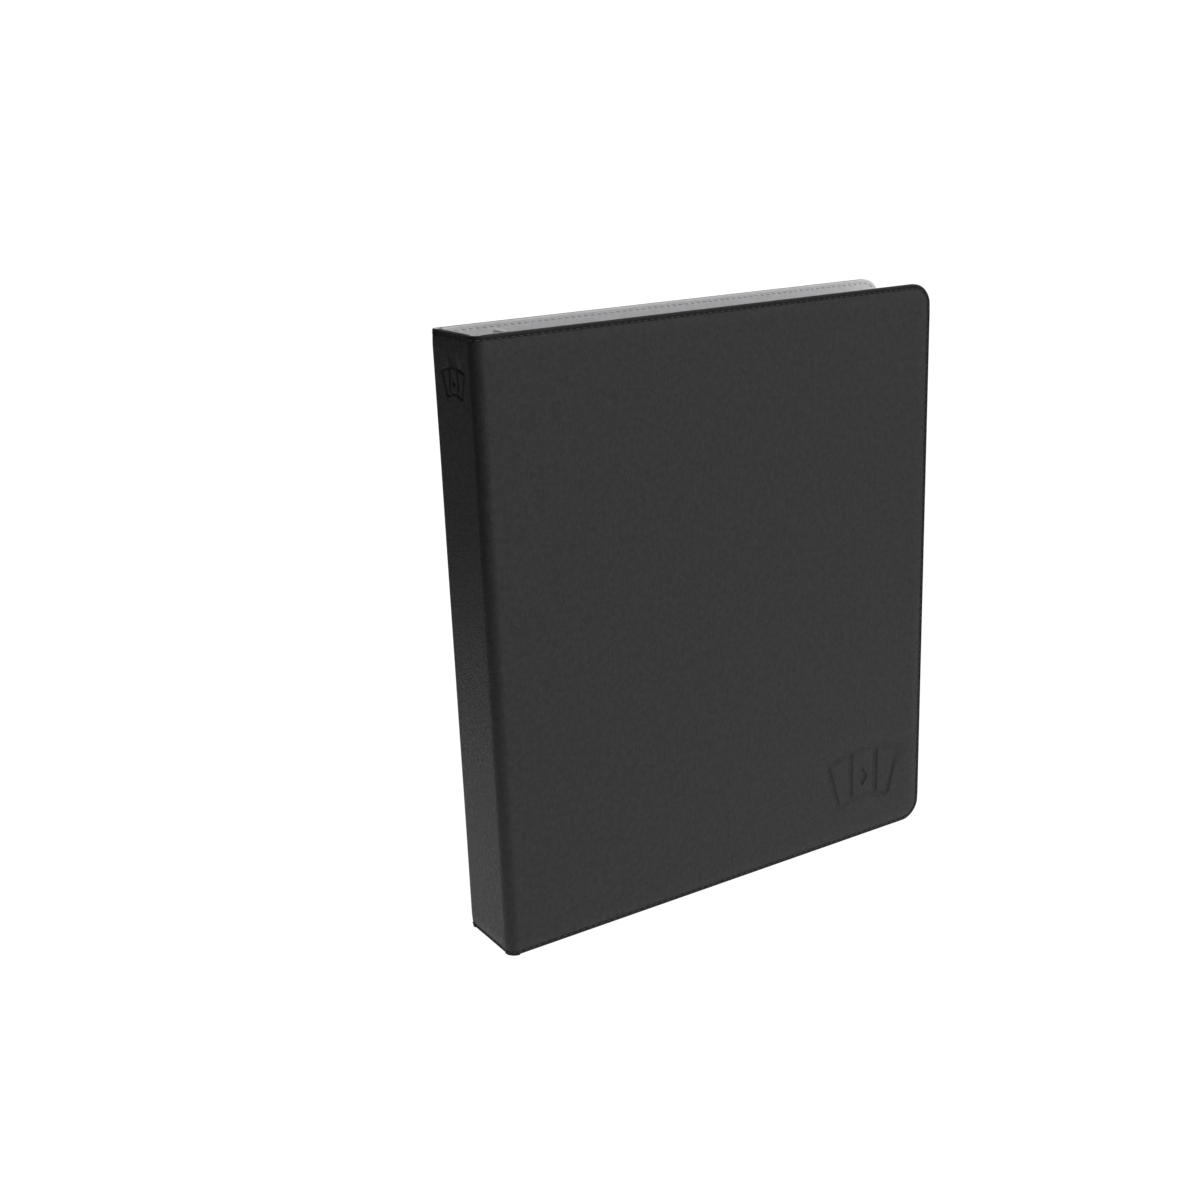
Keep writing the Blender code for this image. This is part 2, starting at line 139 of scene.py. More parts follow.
def spread(nodes, links, value, low, high, source=(0.3, 0.7)):
    """Map a texture value from its usual range to the range wanted."""
    node = nodes.new("ShaderNodeMapRange")
    node.inputs["From Min"].default_value = source[0]
    node.inputs["From Max"].default_value = source[1]
    node.inputs["To Min"].default_value = low
    node.inputs["To Max"].default_value = high
    links.new(value, node.inputs["Value"])
    return node.outputs["Result"]


def tint(nodes, links, value, dark, light, shader):
    """Colour that varies between two tones with a texture value."""
    mix = nodes.new("ShaderNodeMix")
    mix.data_type = "RGBA"
    mix.inputs["A"].default_value = (*dark, 1.0)
    mix.inputs["B"].default_value = (*light, 1.0)
    links.new(value, mix.inputs["Factor"])
    links.new(mix.outputs["Result"], shader.inputs["Base Color"])


def raise_surface(nodes, links, value, height, strength, shader, under=None):
    bump = nodes.new("ShaderNodeBump")
    bump.inputs["Distance"].default_value = height
    bump.inputs["Strength"].default_value = strength
    links.new(value, bump.inputs["Height"])
    if under is not None:
        links.new(under, bump.inputs["Normal"])
    links.new(bump.outputs["Normal"], shader.inputs["Normal"])
    return bump.outputs["Normal"]


def leatherette(name, dark, light, gloss):
    """Black coated leatherette: fine pebbled grain, slightly uneven sheen."""
    material, nodes, links, shader = new_material(name, light, 0.5)
    shader.inputs["Specular IOR Level"].default_value = gloss
    place = object_place(nodes)
    pebbles = cells(nodes, links, place, 1250.0)
    shade = spread(nodes, links, noise(nodes, links, place, 340.0, 6.0), 0.0, 1.0)
    tint(nodes, links, shade, dark, light, shader)
    links.new(spread(nodes, links, noise(nodes, links, place, 520.0, 4.0), 0.42, 0.58),
              shader.inputs["Roughness"])
    creases = raise_surface(nodes, links, noise(nodes, links, place, 330.0, 5.0),
                            0.00022, 0.30, shader)
    raise_surface(nodes, links, pebbles, 0.00022, 0.85, shader, creases)
    return material


def microfibre():
    """Light grey brushed lining: short nap, mottled, with a soft sheen."""
    material, nodes, links, shader = new_material("microfibre", (0.55, 0.55, 0.56), 0.92)
    shader.inputs["Sheen Weight"].default_value = 0.35
    shader.inputs["Sheen Roughness"].default_value = 0.5
    place = object_place(nodes)
    nap = noise(nodes, links, place, 900.0, 5.0)
    tint(nodes, links, spread(nodes, links, noise(nodes, links, place, 260.0, 6.0), 0.0, 1.0),
         (0.55, 0.55, 0.56), (0.61, 0.61, 0.62), shader)
    raise_surface(nodes, links, nap, 0.00025, 0.6, shader)
    return material


def thread(name, colour):
    """Twisted sewing thread."""
    material, nodes, links, shader = new_material(name, colour, 0.6)
    place = object_place(nodes)
    strands = noise(nodes, links, place, 2600.0, 2.0)
    tint(nodes, links, spread(nodes, links, strands, 0.0, 1.0),
         tuple(0.65 * part for part in colour), colour, shader)
    raise_surface(nodes, links, strands, 0.0001, 0.6, shader)
    return material


def metal(name, colour, roughness):
    """Plated sheet or wire with faint handling marks."""
    low, high = roughness
    material, nodes, links, shader = new_material(name, colour, high, 1.0)
    place = object_place(nodes)
    smudges = noise(nodes, links, place, 130.0, 6.0)
    links.new(spread(nodes, links, smudges, low, high), shader.inputs["Roughness"])
    tint(nodes, links, spread(nodes, links, noise(nodes, links, place, 40.0, 4.0), 0.0, 1.0),
         tuple(0.93 * part for part in colour), colour, shader)
    raise_surface(nodes, links, noise(nodes, links, place, 900.0, 3.0), 0.00003, 0.15, shader)
    return material


def plain_fibre(name, dark, light, scale, roughness=0.95):
    """Pressed board or foam, speckled."""
    material, nodes, links, shader = new_material(name, dark, roughness)
    place = object_place(nodes)
    speckle = noise(nodes, links, place, scale, 8.0)
    tint(nodes, links, spread(nodes, links, speckle, 0.0, 1.0), dark, light, shader)
    raise_surface(nodes, links, speckle, 0.0002, 0.5, shader)
    return material


def clear_film():
    """Clear soft film with a faint haze and orange peel."""
    material, nodes, links, shader = new_material("clear_film", (0.93, 0.95, 0.96), 0.2)
    shader.inputs["IOR"].default_value = 1.49
    shader.inputs["Alpha"].default_value = 0.32
    place = object_place(nodes)
    haze = noise(nodes, links, place, 70.0, 4.0)
    links.new(spread(nodes, links, haze, 0.10, 0.26), shader.inputs["Roughness"])
    raise_surface(nodes, links, noise(nodes, links, place, 300.0, 2.0), 0.00008, 0.3, shader)
    return material


def weld_film():
    """Frosted film along the welds."""
    material, nodes, links, shader = new_material("weld_film", (0.80, 0.83, 0.85), 0.45)
    shader.inputs["Alpha"].default_value = 0.55
    place = object_place(nodes)
    raise_surface(nodes, links, cells(nodes, links, place, 1400.0), 0.0001, 0.7, shader)
    return material


# ---- mesh helpers ----------------------------------------------------------

def smooth(share):
    share = np.clip(share, 0.0, 1.0)
    return share * share * (3.0 - 2.0 * share)


def add_mesh(name, points, faces, material, sharp=50.0):
    mesh = bpy.data.meshes.new(name)
    mesh.from_pydata([tuple(point) for point in points], [], faces)
    mesh.validate()
    shape = bmesh.new()
    shape.from_mesh(mesh)
    bmesh.ops.recalc_face_normals(shape, faces=shape.faces)
    shape.to_mesh(mesh)
    shape.free()
    mesh.shade_smooth()
    mesh.set_sharp_from_angle(angle=math.radians(sharp))
    mesh.materials.append(material)
    item = bpy.data.objects.new(name, mesh)
    bpy.context.scene.collection.objects.link(item)
    return item


def make_shell(name, u, z, place, front, back, material, sharp=50.0):
    """A closed sheet on a grid: front and back are depths under the outer face."""
    rows, columns = u.shape
    points = np.concatenate([place(u, z, front).reshape(-1, 3), place(u, z, back).reshape(-1, 3)])
    layer = rows * columns
    corner = (np.arange(rows - 1)[:, None] * columns + np.arange(columns - 1)[None, :]).ravel()
    quads = np.stack([corner, corner + 1, corner + columns + 1, corner + columns], axis=1)
    faces = np.concatenate([quads, quads[:, ::-1] + layer]).tolist()
    edge = list(range(columns))
    edge += [row * columns + columns - 1 for row in range(1, rows)]
    edge += [layer - 1 - step for step in range(1, columns)]
    edge += [row * columns for row in range(rows - 2, 0, -1)]
    for near, far in zip(edge, edge[1:] + edge[:1]):
        faces.append([far, near, near + layer, far + layer])
    return add_mesh(name, points, faces, material, sharp)


def spaced(*runs):
    """Sorted places from (start, stop, step) runs, without near repeats."""
    places = []
    for start, stop, step in runs:
        count = max(1, round(abs(stop - start) / step))
        places += list(np.linspace(start, stop, count + 1))
    places = sorted(places)
    kept = [places[0]]
    for place in places[1:]:
        if place - kept[-1] > 0.06 * MM:
            kept.append(place)
    kept[-1] = places[-1]
    return np.array(kept)


def from_edge():
    """Distances from an edge, close together where the edge and groove bend."""
    rounding = [EDGE_ROUND * (1 - math.cos(math.radians(angle))) for angle in range(0, 91, 11)]
    groove = [SEAM + step * MM for step in (-0.55, -0.4, -0.27, -0.13, 0.0, 0.13, 0.27, 0.4, 0.55,
                                            0.75, 1.0, 1.4, 1.9, 2.6, 3.5, 4.7, 6.2, 8.0)]
    return np.array(rounding + groove)


# ---- the unrolled case -----------------------------------------------------
# u runs from the spine over the fold to the fore edge and equals x on the flat
# of a cover; z is height; depth is measured in from the nominal outer face.

def cover_place(side):
    def place(u, z, depth):
        u, z, depth = np.broadcast_arrays(u, z, depth)
        turn = np.clip((u - ARC_U) / FOLD, 0.0, math.pi / 2)
        before = np.minimum(u - ARC_U, 0.0)
        after = np.maximum(u - FLAT_X, 0.0)
        x = FLAT_X - (FOLD - depth) * np.cos(turn) + after
        y = OUT_Y - FOLD + (FOLD - depth) * np.sin(turn) + before
        return np.stack([x, side * y, z], axis=-1)
    return place


def spine_place(y, z, depth):
    y, z, depth = np.broadcast_arrays(y, z, depth)
    return np.stack([SPINE_X + depth, y, z], axis=-1)


def edge_distance(u, z):
    """How far a point of a cover is inside its outline."""
    across = FORE_X - CORNER - u
    up = np.abs(z - MID_Z) - (MID_Z - CORNER)
    straight = np.minimum(FORE_X - u, MID_Z - np.abs(z - MID_Z))
    rounded = CORNER - np.hypot(across, up)
    return np.maximum(np.where((across < 0) & (up > 0), rounded, straight), 0.0)


def case_thickness(u):
    """Thin over the fold, full over the boards."""
    beyond = np.maximum(np.maximum(u - FLAT_X, ARC_U - u), 0.0)
    return FOLD_CASE + (CASE - FOLD_CASE) * smooth(beyond / BOARD_START)


def outer_depth(u, z, distance, mark=0.0):
    """Depth of the leatherette: rounded edge, sunk seam band, groove and pillow."""
    share = case_thickness(u) / CASE
    corner = EDGE_ROUND * np.minimum(share + 0.12, 1.0)
    into = np.clip(corner - distance, 0.0, corner)
    drop = corner - np.sqrt(np.maximum(corner ** 2 - into ** 2, 0.0))
    band = BAND_DROP * (1.0 - smooth((distance - SEAM) / PILLOW))
    groove = GROOVE * np.exp(-((distance - SEAM) / GROOVE_WIDTH) ** 2)
    crest = CREST[0] * np.exp(-((distance - CREST[1]) / CREST[2]) ** 2)
    ripple = np.sin(41 * u + 17 * z) * np.sin(23 * z - 29 * u + 1.3) + 0.5 * np.sin(97 * u - 61 * z)
    unevenness = RIPPLE[0] * ripple * smooth((distance - RIPPLE[1]) / RIPPLE[2])
    return drop + share * (band + groove - crest) + unevenness + mark


def skin_back(u, distance, front):
    """Inner face of the leatherette: full depth where it is turned over the edge."""
    full = (1.0 - LINING_SHARE) * case_thickness(u)
    flat = np.minimum(np.maximum(SKIN, front + 0.3 * MM), full)
    return np.where(distance < TURNED, full, flat)


def cover_rows(extra=None):
    near = from_edge()
    runs = [(near[-1], TOP_Z - near[-1], GRID)]
    if extra:
        runs.append(extra)
    return np.unique(np.concatenate([near, spaced(*runs), TOP_Z - near]))


def cover_columns(extra=None):
    near = FORE_X - from_edge()
    runs = [(START_U, ARC_U - 2 * MM, MM), (ARC_U - 2 * MM, ARC_U, 0.25 * MM),
            (ARC_U, FLAT_X, 0.3 * MM), (FLAT_X, FLAT_X + 2 * MM, 0.25 * MM),
            (FLAT_X + 2 * MM, FLAT_X + 4 * MM, 0.6 * MM),
            (FLAT_X + 4 * MM, near[-1], GRID)]
    if extra:
        runs.append(extra)
    return np.unique(np.concatenate([spaced(*runs), near]))


def cover_grid(rows, columns):
    """Grid of a cover whose last columns follow the round fore-edge corners."""
    u, z = np.meshgrid(columns, rows)
    squeeze_from = FORE_X - SQUEEZE
    up = np.maximum(np.abs(z - MID_Z) - (MID_Z - CORNER), 0.0)
    limit = FORE_X - CORNER + np.sqrt(np.maximum(CORNER ** 2 - up ** 2, 0.0))
    share = (limit - squeeze_from) / (FORE_X - squeeze_from)
    return np.where(u > squeeze_from, squeeze_from + (u - squeeze_from) * share, u), z


# ---- pressed marks ---------------------------------------------------------

MARK_WIDTH = 50 * MM          # three fanned cards, pressed into the leatherette
FRONT_MARK = (97 * MM, 38 * MM)
SPINE_MARK = (-1.5 * MM, 296 * MM)
SPINE_MARK_SHARE = 0.42
MARK_PRESS = 0.85 * MM
CARD_HALF = (0.19, 0.30)      # these and the next three are shares of the mark's width
CARD_CORNER = 0.05
LINE = 0.028
DIAMOND_HALF = (0.07, 0.11)
FAN = ((-0.27, 0.02, 16.0), (0.27, 0.02, -16.0), (0.0, 0.06, 0.0))


def card_distance(x, z, place, size):
    """Signed distance to a round-cornered card: place is centre and tilt."""
    angle = math.radians(place[2])
    across, up = x - place[0] * size, z - place[1] * size
    along = np.abs(across * math.cos(angle) + up * math.sin(angle))
    over = np.abs(up * math.cos(angle) - across * math.sin(angle))
    radius = CARD_CORNER * size
    gap_x = along - CARD_HALF[0] * size + radius
    gap_z = over - CARD_HALF[1] * size + radius
    outside = np.hypot(np.maximum(gap_x, 0.0), np.maximum(gap_z, 0.0))
    return outside + np.minimum(np.maximum(gap_x, gap_z), 0.0) - radius


def pressed_mark(x, z, centre, size):
    """Depth of the pressed lines of three fanned cards, the middle one on top."""
    x, z = x - centre[0], z - centre[1]
    line = LINE * size
    depth = np.zeros_like(x)
    for card in FAN:
        distance = card_distance(x, z, card, size)
        depth = np.where(distance < -line, 0.0, depth)
        depth = np.maximum(depth, smooth(1.6 - np.abs(distance) / line))
    across, up = DIAMOND_HALF[0] * size, DIAMOND_HALF[1] * size
    diamond = np.abs(x) / across + np.abs(z) / up - 1.0
    return MARK_PRESS * np.maximum(depth, smooth(0.5 - diamond * 4.0))


# ---- covers and spine ------------------------------------------------------


def bend_with_cover(item):
    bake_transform(item)


def paint_edge_shade(item, distance, material):
    """Paint shade on the pressed band between the seam and the edge, and on the rim: a darker, less
    glossy copy of the leatherette stands in for the shade there.
    """
    item.data.materials.append(material)
    middle = (distance[:-1, :-1] + distance[1:, 1:]).ravel() / 2
    for index, place in enumerate(np.tile(middle, 2)):
        if place < PAINTED_SHADE_BAND:
            item.data.polygons[index].material_index = 1
    for polygon in item.data.polygons[2 * middle.size:]:
        polygon.material_index = 1


def mark_runs(centre, size, step):
    """Finer grid runs across and up a pressed mark."""
    return ((centre[0] - 0.52 * size, centre[0] + 0.52 * size, step),
            (centre[1] - 0.36 * size, centre[1] + 0.34 * size, step))


def make_cover_skin(label, side, leather, painted_shade_leather):
    marked = label == "front"
    mark_u, mark_z = mark_runs(FRONT_MARK, MARK_WIDTH, 0.45 * MM)
    rows = cover_rows(mark_z if marked else None)
    columns = cover_columns(mark_u if marked else None)
    u, z = cover_grid(rows, columns)
    distance = edge_distance(u, z)
    mark = pressed_mark(u, z, FRONT_MARK, MARK_WIDTH) if marked else 0.0
    front = outer_depth(u, z, distance, mark)
    back = skin_back(u, distance, front)
    item = make_shell(f"{label}_leatherette", u, z, cover_place(side), front, back, leather)
    paint_edge_shade(item, distance, painted_shade_leather)
    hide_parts(f"{label}_cover_skin", f"{label}_fold_strip")
    bend_with_cover(item)


def lining_depths(u, distance):
    """Outer and inner face of the lining, drawn in a little along the seam."""
    full = case_thickness(u)
    edge = LINING_EDGE[0] * (1.0 - smooth(distance / LINING_EDGE[1]))
    seam = LINING_PULL * np.exp(-((distance - SEAM) / GROOVE_WIDTH) ** 2)
    return (1.0 - LINING_SHARE) * full + LINING_SINK, full - edge - seam


def make_cover_lining(label, side, material):
    u, z = cover_grid(cover_rows(), cover_columns())
    outer, inner = lining_depths(u, edge_distance(u, z))
    item = make_shell(f"{label}_lining", u, z, cover_place(side), outer, inner, material)
    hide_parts(f"{label}_cover_lining")
    bend_with_cover(item)


def spine_columns(extra=None):
    runs = [(-SPINE_HALF, SPINE_HALF, 1.5 * MM)] + ([extra] if extra else [])
    return spaced(*runs)


def make_spine_skin(leather, painted_shade_leather):
    size = SPINE_MARK_SHARE * MARK_WIDTH
    mark_y, mark_z = mark_runs(SPINE_MARK, size, 0.4 * MM)
    across = spine_columns(mark_y)
    y, z = np.meshgrid(across, cover_rows(mark_z))
    distance = np.minimum(z, TOP_Z - z)
    on_flat = np.full_like(y, START_U)
    front = outer_depth(on_flat, z, distance, pressed_mark(y, z, SPINE_MARK, size))
    back = skin_back(on_flat, distance, front)
    item = make_shell("spine_leatherette", y, z, spine_place, front, back, leather)
    paint_edge_shade(item, distance, painted_shade_leather)
    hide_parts("spine_skin")
    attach(item, "spine")


def make_spine_lining(material):
    y, z = np.meshgrid(spine_columns(), cover_rows())
    outer, inner = lining_depths(np.full_like(y, START_U), np.minimum(z, TOP_Z - z))
    item = make_shell("spine_lining_cloth", y, z, spine_place, outer, inner, material)
    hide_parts("spine_lining")
    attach(item, "spine")


# ---- stitching -------------------------------------------------------------

def seam_path(at):
    """Unrolled place of the stitch row: along the top, fore edge and bottom."""
    radius = CORNER - SEAM
    run = FORE_X - CORNER - START_U
    bend = radius * math.pi / 2
    rise = TOP_Z - 2 * CORNER
    total = 2 * run + 2 * bend + rise
    if at < run:
        return START_U + at, TOP_Z - SEAM, total
    if at < run + bend:
        angle = math.pi / 2 - (at - run) / radius
        return (FORE_X - CORNER + radius * math.cos(angle),
                TOP_Z - CORNER + radius * math.sin(angle), total)
    if at < run + bend + rise:
        return FORE_X - SEAM, TOP_Z - CORNER - (at - run - bend), total
    if at < total - run:
        angle = -(at - run - bend - rise) / radius
        return (FORE_X - CORNER + radius * math.cos(angle),
                CORNER + radius * math.sin(angle), total)
    return FORE_X - CORNER - (at - total + run), SEAM, total


def stitch_rings(centres, normals, radius):
    """Rings of a tube along a few centre points."""
    points = []
    for index, (centre, normal) in enumerate(zip(centres, normals)):
        ahead = centres[min(index + 1, len(centres) - 1)] - centres[max(index - 1, 0)]
        ahead = ahead / np.linalg.norm(ahead)
        beside = np.cross(ahead, normal)
        beside = beside / np.linalg.norm(beside)
        width = radius * (THREAD_TIP if index in (0, len(centres) - 1) else 1.0)
        for step in range(THREAD_SIDES):
            angle = 2 * math.pi * step / THREAD_SIDES
            points.append(centre + width * (math.cos(angle) * beside + math.sin(angle) * normal))
    return points


def make_stitches(name, path, total, place, depth_at, outward, material):
    """A row of thread loops: each rises from a hole, runs on and dips into the next."""
    points, faces = [], []
    count = round(total / STITCH_PITCH)
    pitch = total / count
    last = len(STITCH_LIFTS) - 1
    sides = THREAD_SIDES
    for stitch in range(count):
        start = stitch * pitch + STITCH_GAP / 2
        length = pitch - STITCH_GAP
        centres, normals = [], []
        for index, lift in enumerate(STITCH_LIFTS):
            u, z = path(start + length * index / last)[:2]
            depth = depth_at(u, z)
            inner = place(u, z, depth + MM)
            outer = place(u, z, depth)
            normal = outward * (outer - inner) / MM
            centres.append(outer + normal * lift)
            normals.append(normal)
        base = len(points)
        points += stitch_rings(centres, normals, THREAD)
        for ring in range(last):
            for step in range(sides):
                near = base + ring * sides
                following = (step + 1) % sides
                faces.append([near + step, near + following,
                              near + sides + following, near + sides + step])
        faces.append([base + step for step in range(sides)])
        faces.append([base + last * sides + step for step in reversed(range(sides))])
    return add_mesh(name, points, faces, material, 80.0)


def outer_seam_depth(u, z):
    return float(outer_depth(np.array(u), np.array(z), edge_distance(u, z)))


def inner_seam_depth(u, z):
    return float(lining_depths(np.array(u), np.array(SEAM))[1])


def make_cover_stitching(label, side, dark, light):
    total = seam_path(0.0)[2]
    for name, depth_at, outward, material, slot in (
            (f"{label}_outer_stitching", outer_seam_depth, 1.0, dark, "leatherette"),
            (f"{label}_inner_stitching", inner_seam_depth, -1.0, light, "microfibre")):
        item = make_stitches(name, seam_path, total, cover_place(side), depth_at, outward, material)
        bend_with_cover(item)


def make_spine_stitching(dark, light):
    on_flat = np.array(START_U)
    for end, z in (("top", TOP_Z - SEAM), ("bottom", SEAM)):
        for name, outward, material, slot in (("outer", 1.0, dark, "leatherette"),
                                              ("inner", -1.0, light, "microfibre")):
            if outward > 0:
                depth = float(outer_depth(on_flat, np.array(z), np.array(SEAM)))
            else:
                depth = inner_seam_depth(START_U, z)
            item = make_stitches(f"spine_{end}_{name}_stitching",
                                 lambda at, z=z: (at - SPINE_HALF, z), 2 * SPINE_HALF,
                                 spine_place, lambda u, z, depth=depth: depth, outward, material)
            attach(item, "spine")


# ---- ring mechanism --------------------------------------------------------

RING_FOOT = math.radians(38.0)         # a half ring stops this far short of the spine side
RING_GAP = 0.2 * MM                    # between a tip and the middle of the ring
RING_STEPS = 44


def ring_size(node):
    """Wire radius, ring radius and centre, read from a half ring."""
    low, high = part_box(node)
    wire = (high.z - low.z) / 2
    radius = max(abs(low.y), abs(high.y)) - wire
    return wire, radius, Vector((high.x - wire - radius, 0.0, (low.z + high.z) / 2))


def make_ring_half(label, side, height, material):
    node = f"ring_{height}_{label}"
    wire, radius, centre = ring_size(node)
    tip = RING_GAP / radius
    data = bpy.data.curves.new(f"wire_{height}_{label}", "CURVE")
    data.dimensions = "3D"
    data.bevel_depth = wire
    data.bevel_resolution = 6
    data.use_fill_caps = True
    spline = data.splines.new("POLY")
    spline.points.add(RING_STEPS)
    for step, point in enumerate(spline.points):
        angle = tip + (math.pi - RING_FOOT - tip) * step / RING_STEPS
        point.co = (centre.x + radius * math.cos(angle), side * radius * math.sin(angle),
                    centre.z, 1.0)
        point.radius = 0.86 if step == 0 else 1.0
    data.materials.append(material)
    item = bpy.data.objects.new(data.name, data)
    bpy.context.scene.collection.objects.link(item)
    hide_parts(node)
    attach(item, f"ring_half_{label}")


def dress_node(name, material, bevel=None):
    """A better material, and softer edges, on a CAD node that stays."""
    item = bpy.data.objects[name]
    item.data.materials.clear()
    item.data.materials.append(material)
    if bevel:
        modifier = item.modifiers.new("soft_edges", "BEVEL")
        modifier.width = bevel
        modifier.segments = 2
        modifier.limit_method = "ANGLE"
        modifier.angle_limit = math.radians(40)
        modifier.harden_normals = False
    item.data.shade_smooth()


# ---- pocket pages ----------------------------------------------------------

PAGE_HOLE = 4.3 * MM                   # radius
HOLE_TO_EDGE = 10 * MM
BINDING = 17 * MM
WELD = 1.6 * MM
SHEET_HALF = 0.12 * MM                 # half thicknesses
UPRIGHT_WELD_HALF = 0.20 * MM
LEVEL_WELD_HALF = 0.19 * MM
FRONT_HALF = 0.06 * MM
FRONT_OFFSET = 0.30 * MM               # a pocket's front to the middle of the sheet
POCKET_MOUTH = 3 * MM
WAVE = (0.30 * MM, 40 * MM)            # height, and the run over which it grows
POCKET_ROWS = 3
POCKET_COLUMNS = 3


def page_frame(label, number):
    low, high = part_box(f"pocket_page_{label}_{number}")
    return low, high, (low.y + high.y) / 2


def page_place(low, middle, phase):
    """Gentle waves of the limp film, none along the binding edge."""
    def place(x, z, depth):
        x, z, depth = np.broadcast_arrays(x, z, depth)
        share = smooth((x - low.x - BINDING) / WAVE[1])
        wave = np.sin(38 * x + phase) * np.sin(27 * z + 2 * phase) + 0.4 * np.sin(70 * z - 55 * x)
        return np.stack([x, middle + WAVE[0] * share * wave + depth, z], axis=-1)
    return place


def page_strip(name, x_run, z_run, half, offset, place, material):
    """A thin closed film between two x and two z limits."""
    x, z = np.meshgrid(spaced((*x_run, GRID)), spaced((*z_run, GRID)))
    return make_shell(name, x, z, place, np.full_like(x, offset - half),
                      np.full_like(x, offset + half), material)


def joined(name, items):
    with bpy.context.temp_override(active_object=items[0], object=items[0],
                                   selected_editable_objects=items, selected_objects=items):
        bpy.ops.object.join()
    items[0].name = name
    return items[0]


def punch(item, places):
    """Round holes through a sheet, with the cut applied."""
    for place in places:
        bpy.ops.mesh.primitive_cylinder_add(vertices=40, radius=PAGE_HOLE, depth=4 * MM,
                                            location=place, rotation=(math.pi / 2, 0.0, 0.0))
        cutter = bpy.context.object
        modifier = item.modifiers.new("hole", "BOOLEAN")
        modifier.operation = "DIFFERENCE"
        modifier.object = cutter
        bpy.context.view_layer.update()
        graph = bpy.context.evaluated_depsgraph_get()
        cut = bpy.data.meshes.new_from_object(item.evaluated_get(graph))
        item.modifiers.clear()
        item.data = cut
        bpy.data.objects.remove(cutter, do_unlink=True)


def make_page(label, number, side, film, weld):
    node = f"pocket_page_{label}_{number}"
    low, high, middle = page_frame(label, number)
    place = page_place(low, middle, number + side)
    sheet = page_strip(f"page_film_{label}_{number}", (low.x, high.x), (low.z, high.z),
                       SHEET_HALF, 0.0, place, film)
    punch(sheet, [(low.x + HOLE_TO_EDGE, middle, ring_size(f"ring_{height}_back")[2].z)
                  for height in RINGS])
    left = low.x + BINDING
    wide = (high.x - left - WELD) / POCKET_COLUMNS
    tall = (high.z - low.z - WELD) / POCKET_ROWS
    welds, fronts = [], []
    for column in range(POCKET_COLUMNS + 1):
        start = left + column * wide
        welds.append(page_strip("weld", (start, start + WELD), (low.z, high.z),
                                UPRIGHT_WELD_HALF, 0.0, place, weld))
    for row in range(POCKET_ROWS):
        base = low.z + row * tall
        welds.append(page_strip("weld", (left, high.x), (base, base + WELD),
                                LEVEL_WELD_HALF, 0.0, place, weld))
        fronts.append(page_strip("front", (left, high.x), (base + WELD, base + tall - POCKET_MOUTH),
                                 FRONT_HALF, side * FRONT_OFFSET, place, film))
    welds = joined(f"page_welds_{label}_{number}", welds)
    fronts = joined(f"page_pockets_{label}_{number}", fronts)
    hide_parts(node)
    for item in (sheet, welds, fronts):
        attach(item, f"page_{label}_{number}")


# ---- stage -----------------------------------------------------------------

DARK_SIDE = (-0.96, 0.20, 0.20)
ROOM_LIGHT = (0.72, 0.09)      # strength away from the dark side, and toward it
TABLE_RADIUS = 0.48
TABLE_LIGHT = 1.05
SEEN_WHITE = 1.05              # just past white, so that no grey is left


def emitter(nodes, strength):
    node = nodes.new("ShaderNodeEmission")
    node.inputs["Color"].default_value = (1.0, 1.0, 1.0, 1.0)
    node.inputs["Strength"].default_value = strength
    return node.outputs["Emission"]


def white_when_seen(nodes, links, lit):
    """Pure white to the camera, the lit shader for everything else."""
    seen = nodes.new("ShaderNodeLightPath")
    mix = nodes.new("ShaderNodeMixShader")
    links.new(seen.outputs["Is Camera Ray"], mix.inputs["Fac"])
    links.new(lit, mix.inputs[1])
    links.new(emitter(nodes, SEEN_WHITE), mix.inputs[2])
    return mix.outputs["Shader"]


def make_table():
    """The white sheet under the binder, bright enough to light its lower part."""
    bpy.ops.mesh.primitive_circle_add(vertices=96, radius=TABLE_RADIUS, fill_type="NGON")
    table = bpy.context.object
    table.name = "table"
    material = new_material("table", (0.9, 0.9, 0.9), 0.9)[0]
    nodes, links = material.node_tree.nodes, material.node_tree.links
    links.new(white_when_seen(nodes, links, emitter(nodes, TABLE_LIGHT)),
              nodes["Material Output"].inputs["Surface"])
    table.data.materials.append(material)


def make_room():
    world = bpy.data.worlds.new("studio")
    world.use_nodes = True
    nodes, links = world.node_tree.nodes, world.node_tree.links
    soft = nodes["Background"]
    soft.inputs["Color"].default_value = (1.0, 1.0, 1.0, 1.0)
    toward = nodes.new("ShaderNodeVectorMath")     # the studio is darker to the left
    toward.operation = "DOT_PRODUCT"
    toward.inputs[1].default_value = DARK_SIDE
    links.new(nodes.new("ShaderNodeTexCoord").outputs["Generated"], toward.inputs[0])
    links.new(spread(nodes, links, toward.outputs["Value"], *ROOM_LIGHT, source=(-0.3, 0.7)),
              soft.inputs["Strength"])
    links.new(white_when_seen(nodes, links, soft.outputs["Background"]),
              nodes["World Output"].inputs["Surface"])
    bpy.context.scene.world = world
    bpy.context.scene.view_settings.view_transform = "Standard"


def add_softbox(name, place, aim, size, power):
    data = bpy.data.lights.new(name, "AREA")
    data.shape = "RECTANGLE"
    data.size, data.size_y = size
    data.energy = power
    item = bpy.data.objects.new(name, data)
    item.location = place
    item.rotation_euler = (Vector(aim) - Vector(place)).to_track_quat("-Z", "Y").to_euler()
    bpy.context.scene.collection.objects.link(item)


def make_lights():
    middle = (0.0, 0.0, MID_Z)
    add_softbox("overhead", (0.3, -0.4, 1.9), middle, (1.6, 1.6), 13.0)
    add_softbox("front_key", (0.9, -1.9, 0.7), middle, (1.4, 1.4), 16.0)


CAMERA_PLACE = (-0.4736, -0.6570, 0.4147)
CAMERA_TURN = (-31.86, 17.32, -2.24)      # azimuth, elevation and roll in degrees
LENS = 46.69


